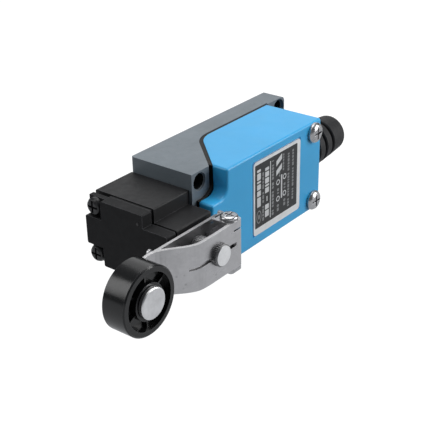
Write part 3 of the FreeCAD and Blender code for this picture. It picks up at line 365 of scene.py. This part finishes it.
def clear_cover():
    t = Tree("clear_plastic", Transmission_Weight=0.85, IOR=1.49)
    t.set("Base Color", t.ramp(t.noise(80.0, 2.0), [(0.3, (0.82, 0.86, 0.88)), (0.7, (0.94, 0.96, 0.97))]))
    t.set("Roughness", t.remap(t.noise(500.0, 4.0), 0.3, 0.75, 0.06, 0.18))
    t.set("Normal", t.bump(t.noise(260.0, 2.0), 0.00001, 0.5))
    return t.mat


MAT["clear_plastic"] = clear_cover()


def printed(name, base, rough, spec=0.4, metal=0.0, specks=0.0):
    """Thin printed or anodised layer: faint screen texture, pinholes and tone drift."""
    t = Tree(name, Specular_IOR_Level=spec, Metallic=metal)
    tone = t.ramp(t.noise(300.0, 3.0, 0.6), [(0.3, shade(base, 0.93)), (0.7, shade(base, 1.06))])
    grain = t.noise(1.0, 2.0, at=t.mapped(scale=(900, 900, 9000)))
    tone = t.mix(t.math("MULTIPLY", t.remap(grain, 0.4, 0.7), 0.16), tone, shade(base, 0.75))
    if specks:
        pin = t.remap(t.noise(5200.0, 2.0), 0.7, 0.78)
        tone = t.mix(t.math("MULTIPLY", pin, specks), tone, (0.3, 0.3, 0.31))
    t.set("Base Color", tone)
    t.set("Roughness", t.remap(t.noise(1200.0, 3.0), 0.25, 0.75, *rough))
    t.set("Normal", t.bump(grain, 0.000004, 0.6))
    return t.mat


MAT["label_plate"] = printed("label_plate", (0.80, 0.81, 0.82), (0.34, 0.46), metal=0.3)
MAT["label_field"] = printed("label_field", (0.020, 0.021, 0.022), (0.4, 0.5), specks=0.3)
MAT["label_white"] = printed("label_white", (0.66, 0.67, 0.68), (0.4, 0.5), metal=0.2)
MAT["label_grey"] = printed("label_grey", (0.23, 0.235, 0.24), (0.4, 0.5))

SLOT_OF = {
    "grey_diecast": ["base_housing"],
    "blue_plastic": ["front_cover"],
    "gasket_rubber": ["cover_gasket"],
    "black_rubber": ["head_gasket", "end_plate_seal", "shaft_seal", "plunger_seal", "cable_gland"],
    "bright_screw": ["cover_screws", "clamp_washer", "clamp_screw", "clamp_nut", "terminal_screws", "block_screws"],
    "label_plate": ["nameplate"],
    "black_head": ["head_housing"],
    "black_plate": ["head_end_plate"],
    "turned_steel": ["rotary_shaft"],
    "turned_axle": ["roller_axle"],
    "turned_x": ["drive_plunger"],
    "black_screw": ["head_screws", "end_plate_pins"],
    "bronze": ["shaft_bush", "plunger_bush"],
    "spring_steel": ["shaft_circlip", "plunger_spring", "carrier_spring"],
    "zinc_sheet": ["lever_arm"],
    "black_nylon": ["roller"],
    "phenolic": ["switch_block", "gland_retainer"],
    "white_plastic": ["contact_carrier"],
    "brass_strip": ["contact_bridge", "nc_contacts", "no_contacts", "terminal_clamps", "earth_screw", "earth_washer"],
    "silver_tip": ["contact_tips"],
    "clear_plastic": ["contact_lid"],
}
for slot, names in SLOT_OF.items():
    for n in names:
        o = NODES[n]
        o.data.materials.clear()
        o.data.materials.append(MAT[slot])
left = sorted(set(NODES) - {n for v in SLOT_OF.values() for n in v})
if left:
    raise SystemExit("no material for " + ", ".join(left))


# ---------------------------------------------------------------- edges of the CAD nodes
def soften(node, width, segments=3, angle=32.0, merge=2e-6):
    """Welds the mesh, joins coplanar triangles, rounds the sharp edges and evens the normals, all as modifiers."""
    o = NODES[node]
    w = o.modifiers.new("weld", "WELD")
    w.merge_threshold = merge
    dec = o.modifiers.new("planar", "DECIMATE")
    dec.decimate_type = "DISSOLVE"
    dec.angle_limit = math.radians(0.6)
    b = o.modifiers.new("edge", "BEVEL")
    b.width = width
    b.segments = segments
    b.limit_method = "ANGLE"
    b.angle_limit = math.radians(angle)
    b.use_clamp_overlap = True
    b.harden_normals = True
    b.miter_outer = "MITER_ARC"
    return o


EDGES = {
    "base_housing": 0.00035, "front_cover": 0.0004, "head_housing": 0.0003, "head_end_plate": 0.0003,
    "lever_arm": 0.00012, "roller_axle": 0.00012, "rotary_shaft": 0.0001, "cover_screws": 0.0001, "clamp_screw": 0.0001,
}
for n, wd in EDGES.items():
    soften(n, wd)


# ---------------------------------------------------------------- nameplate print
def print_layer(name, shapes, y_back, y_front, material):
    """Thin printed layer of flat outlines on the nameplate. Each shape is a list of loops of (x, z) in mm; later loops are holes."""
    bm = bmesh.new()
    for loops in shapes:
        rings = []
        for loop in loops:
            front = [bm.verts.new((x * MM, y_front * MM, z * MM)) for x, z in loop]
            back = [bm.verts.new((x * MM, y_back * MM, z * MM)) for x, z in loop]
            rings.append((front, back))
            n = len(front)
            for i in range(n):
                j = (i + 1) % n
                bm.faces.new((front[i], front[j], back[j], back[i]))
        if len(rings) == 1:
            bm.faces.new(rings[0][0])
            bm.faces.new(rings[0][1])
        else:
            for side in (0, 1):
                a, b = rings[0][side], rings[1][side]
                n = len(a)
                for i in range(n):
                    j = (i + 1) % n
                    bm.faces.new((a[i], a[j], b[j], b[i]))
    bmesh.ops.recalc_face_normals(bm, faces=bm.faces[:])
    me = bpy.data.meshes.new(name)
    bm.to_mesh(me)
    bm.free()
    me.materials.append(material)
    o = bpy.data.objects.new(name, me)
    scene.collection.objects.link(o)
    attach(o, "housing")
    return o


def soft_rect(x0, z0, x1, z1, r, n=5):
    """Rectangle with rounded corners as a loop of points."""
    r = min(r, (x1 - x0) / 2.001, (z1 - z0) / 2.001)
    pts = []
    for cx, cz, a0 in ((x1 - r, z1 - r, 0), (x0 + r, z1 - r, 90), (x0 + r, z0 + r, 180), (x1 - r, z0 + r, 270)):
        for k in range(n):
            a = math.radians(a0 + 90.0 * k / (n - 1))
            pts.append((cx + r * math.cos(a), cz + r * math.sin(a)))
    return pts


def oval(cx, cz, rx, rz, n=28):
    return [(cx + rx * math.cos(2 * math.pi * k / n), cz + rz * math.sin(2 * math.pi * k / n)) for k in range(n)]


def dashes(x, width, z0, z1, lengths, gap, r):
    """A row of bars along Z between z0 and z1, with the given pattern of lengths."""
    out, z, k = [], z0, 0
    while z < z1 - 0.2:
        ln = lengths[k % len(lengths)]
        if ln < 0:
            z += -ln
        else:
            top = min(z + ln, z1)
            out.append([soft_rect(x - width / 2, z, x + width / 2, top, r)])
            z = top + gap
        k += 1
    return out


plate_lo, plate_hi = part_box("nameplate")
face = plate_lo.y / MM
x0, x1 = plate_lo.x / MM, plate_hi.x / MM
z0, z1 = plate_lo.z / MM, plate_hi.z / MM
fx0, fx1, fz0, fz1 = x0 + 0.65, x1 - 1.6, z0 + 2.1, z1 - 0.95
print_layer("nameplate_field", [[soft_rect(fx0, fz0, fx1, fz1, 0.25)]], face - 0.001, face - 0.022, MAT["label_field"])
bold, grey = [], []
# head side: a ring mark and a bold row
grey.append([oval(fx0 + 1.75, fz0 + 3.2, 1.15, 2.0), oval(fx0 + 1.75, fz0 + 3.2, 0.85, 1.65)])
grey.append([oval(fx0 + 1.75, fz0 + 3.2, 0.42, 0.75)])
bold += dashes(fx0 + 1.75, 1.7, fz0 + 6.3, fz1 - 1.6, (2.9, 1.6, 1.6, 0.6, 2.0, 1.6), 0.36, 0.22)
# small row
grey += dashes(fx0 + 3.75, 0.72, fz0 + 1.3, fz1 - 3.0, (1.1, 0.7, 1.3, 0.6, -0.7, 0.9, 1.2, 0.6, -0.7, 1.4, 0.7, 1.0), 0.28, 0.14)
# second bold row
bold += dashes(fx0 + 5.55, 1.8, fz0 + 1.9, fz0 + 5.9, (2.0, 1.5), 0.36, 0.16)
bold += dashes(fx0 + 5.55, 0.4, fz0 + 6.7, fz0 + 8.3, (1.5,), 0.3, 0.08)
bold += dashes(fx0 + 5.55, 1.8, fz0 + 9.3, fz1 - 2.2, (1.6, 0.6, 1.6, 1.5, 1.2), 0.36, 0.16)
# full rule
bold.append([soft_rect(fx0 + 7.0, fz0 + 0.9, fx0 + 7.34, fz1 - 0.9, 0.1)])
# small row after the rule
grey += dashes(fx0 + 8.35, 0.95, fz0 + 1.2, fz1 - 1.2, (0.8, 0.5, -0.7, 0.6, 0.9, 0.7, 1.0, 0.6, -0.6, 0.7, 0.9, -0.6, 0.8, 0.8, 0.6), 0.26, 0.16)
# contact rows: open circles, short terminals and two bridging bars
for x, lo, hi in ((fx0 + 10.9, 5.3, 10.4), (fx0 + 14.1, 5.9, 11.1)):
    for zc in (lo, hi):
        bold.append([oval(x, fz0 + zc, 0.85, 0.85), oval(x, fz0 + zc, 0.55, 0.55)])
    grey += dashes(x, 0.9, fz0 + lo + 1.5, fz0 + hi - 1.4, (0.5, 0.8), 0.4, 0.15)
    grey += dashes(x, 0.95, fz0 + lo - 3.9, fz0 + lo - 1.5, (1.0, 0.8), 0.3, 0.2)
bold.append([soft_rect(fx0 + 12.35, fz0 + 4.9, fx0 + 12.95, fz0 + 12.2, 0.1)])
grey += dashes(fx0 + 11.6, 0.5, fz0 + 11.9, fz0 + 13.4, (0.6,), 0.3, 0.1)
# plain slanted mark in place of an approval sign
for k in range(2):
    b0 = fz0 + 12.6 + k * 2.9
    bold.append([[(fx0 + 10.0, b0), (fx0 + 12.7, b0 + 1.5), (fx0 + 12.7, b0 + 3.1), (fx0 + 10.0, b0 + 1.6)]])
grey += dashes(fx0 + 13.5, 0.6, fz0 + 13.2, fz1 - 0.9, (0.7, 0.5, 0.9), 0.22, 0.12)
# gland side: two small rows
grey += dashes(fx0 + 16.0, 0.85, fz0 + 1.0, fz1 - 1.2, (0.5, 0.8, 0.6, -0.5, 0.9, 0.5, 0.7, 1.0, 0.6), 0.24, 0.15)
grey += dashes(fx0 + 18.2, 0.75, fz0 + 2.4, fz1 - 1.0, (0.9, 0.6, 0.7, 0.5, -0.5, 1.1, 0.7), 0.24, 0.15)
print_layer("nameplate_bold_marks", bold, face - 0.021, face - 0.034, MAT["label_white"])
print_layer("nameplate_small_marks", grey, face - 0.021, face - 0.032, MAT["label_grey"])


# ---------------------------------------------------------------- floor, light, camera
def floor():
    bm = bmesh.new()
    z = CAD_BOX[0].z - 0.022  # low enough that the roller clears it when the lever hangs fully down
    for x, y in ((-6, -6), (6, -6), (6, 6), (-6, 6)):
        bm.verts.new((x, y, z))
    bm.faces.new(bm.verts)
    me = bpy.data.meshes.new("floor")
    bm.to_mesh(me)
    bm.free()
    o = bpy.data.objects.new("floor", me)
    scene.collection.objects.link(o)
    m = bpy.data.materials.new("floor_paper")
    m.use_nodes = True
    nt = m.node_tree
    nt.nodes.clear()
    out = nt.nodes.new("ShaderNodeOutputMaterial")
    path = nt.nodes.new("ShaderNodeLightPath")
    seen_d = nt.nodes.new("ShaderNodeBsdfDiffuse")
    seen_d.inputs[0].default_value = (0.16, 0.16, 0.16, 1)
    seen_e = nt.nodes.new("ShaderNodeEmission")
    seen_e.inputs[0].default_value = (1, 1, 1, 1)
    seen_e.inputs[1].default_value = 0.94
    seen = nt.nodes.new("ShaderNodeAddShader")
    nt.links.new(seen_d.outputs[0], seen.inputs[0])
    nt.links.new(seen_e.outputs[0], seen.inputs[1])
    rest_d = nt.nodes.new("ShaderNodeBsdfDiffuse")
    rest_d.inputs[0].default_value = (0.22, 0.22, 0.225, 1)
    glossy = nt.nodes.new("ShaderNodeEmission")
    glossy.inputs[0].default_value = (0.95, 0.97, 1, 1)
    glossy.inputs[1].default_value = 0.64
    other = nt.nodes.new("ShaderNodeMixShader")
    nt.links.new(path.outputs["Is Glossy Ray"], other.inputs[0])
    nt.links.new(rest_d.outputs[0], other.inputs[1])
    nt.links.new(glossy.outputs[0], other.inputs[2])
    mix = nt.nodes.new("ShaderNodeMixShader")
    nt.links.new(path.outputs["Is Camera Ray"], mix.inputs[0])
    nt.links.new(other.outputs[0], mix.inputs[1])
    nt.links.new(seen.outputs[0], mix.inputs[2])
    nt.links.new(mix.outputs[0], out.inputs[0])
    me.materials.append(m)


floor()


def softbox(name, at, aim, size, watts, colour=(1, 1, 1), spread=180.0):
    li = bpy.data.lights.new(name, "AREA")
    li.shape = "RECTANGLE"
    li.size, li.size_y = size
    li.energy = watts
    li.color = colour
    li.spread = math.radians(spread)
    o = bpy.data.objects.new(name, li)
    scene.collection.objects.link(o)
    o.location = at
    o.rotation_mode = "QUATERNION"
    o.rotation_quaternion = (Vector(aim) - Vector(at)).to_track_quat("-Z", "Y")
    return o


mid = Vector((-0.012, -0.016, 0.0))
softbox("key_top", (0.06, 0.02, 0.42), mid, (0.36, 0.36), 1.2)
softbox("back_sheen", mid + Vector((0.70, 0.56, 0.45)) * 0.5, mid, (0.6, 0.42), 0.6)
softbox("front_right", (0.26, -0.36, 0.16), mid, (0.3, 0.3), 1.5)
softbox("left_back", mid + Vector((-0.63, 0.56, 0.55)) * 0.45, mid, (0.14, 0.34), 0.45)

world = bpy.data.worlds.new("studio")
world.use_nodes = True
bg = world.node_tree.nodes["Background"]
bg.inputs[0].default_value = (0.9, 0.95, 1.0, 1)
bg.inputs[1].default_value = 0.17
scene.world = world

scene.view_settings.view_transform = "Standard"
scene.view_settings.look = "None"

cam_data = bpy.data.cameras.new("camera")
cam = bpy.data.objects.new("camera", cam_data)
scene.collection.objects.link(cam)
cam_data.sensor_fit = "HORIZONTAL"
cam_data.sensor_width = 36.0
cam_data.lens = 1010.48 / 430.0 * 36.0
cam_data.clip_start = 0.01
cam_data.clip_end = 20.0
right = Vector((0.61527373, -0.78808874, -0.01882482))
down = Vector((-0.36534087, -0.26390438, -0.89268165))
fwd = Vector((0.6985444, 0.55612105, -0.45029446))
cam.matrix_world = Matrix((
    (right.x, -down.x, -fwd.x, -0.211943),
    (right.y, -down.y, -fwd.y, -0.172241),
    (right.z, -down.z, -fwd.z, 0.121306),
    (0, 0, 0, 1)))
scene.camera = cam
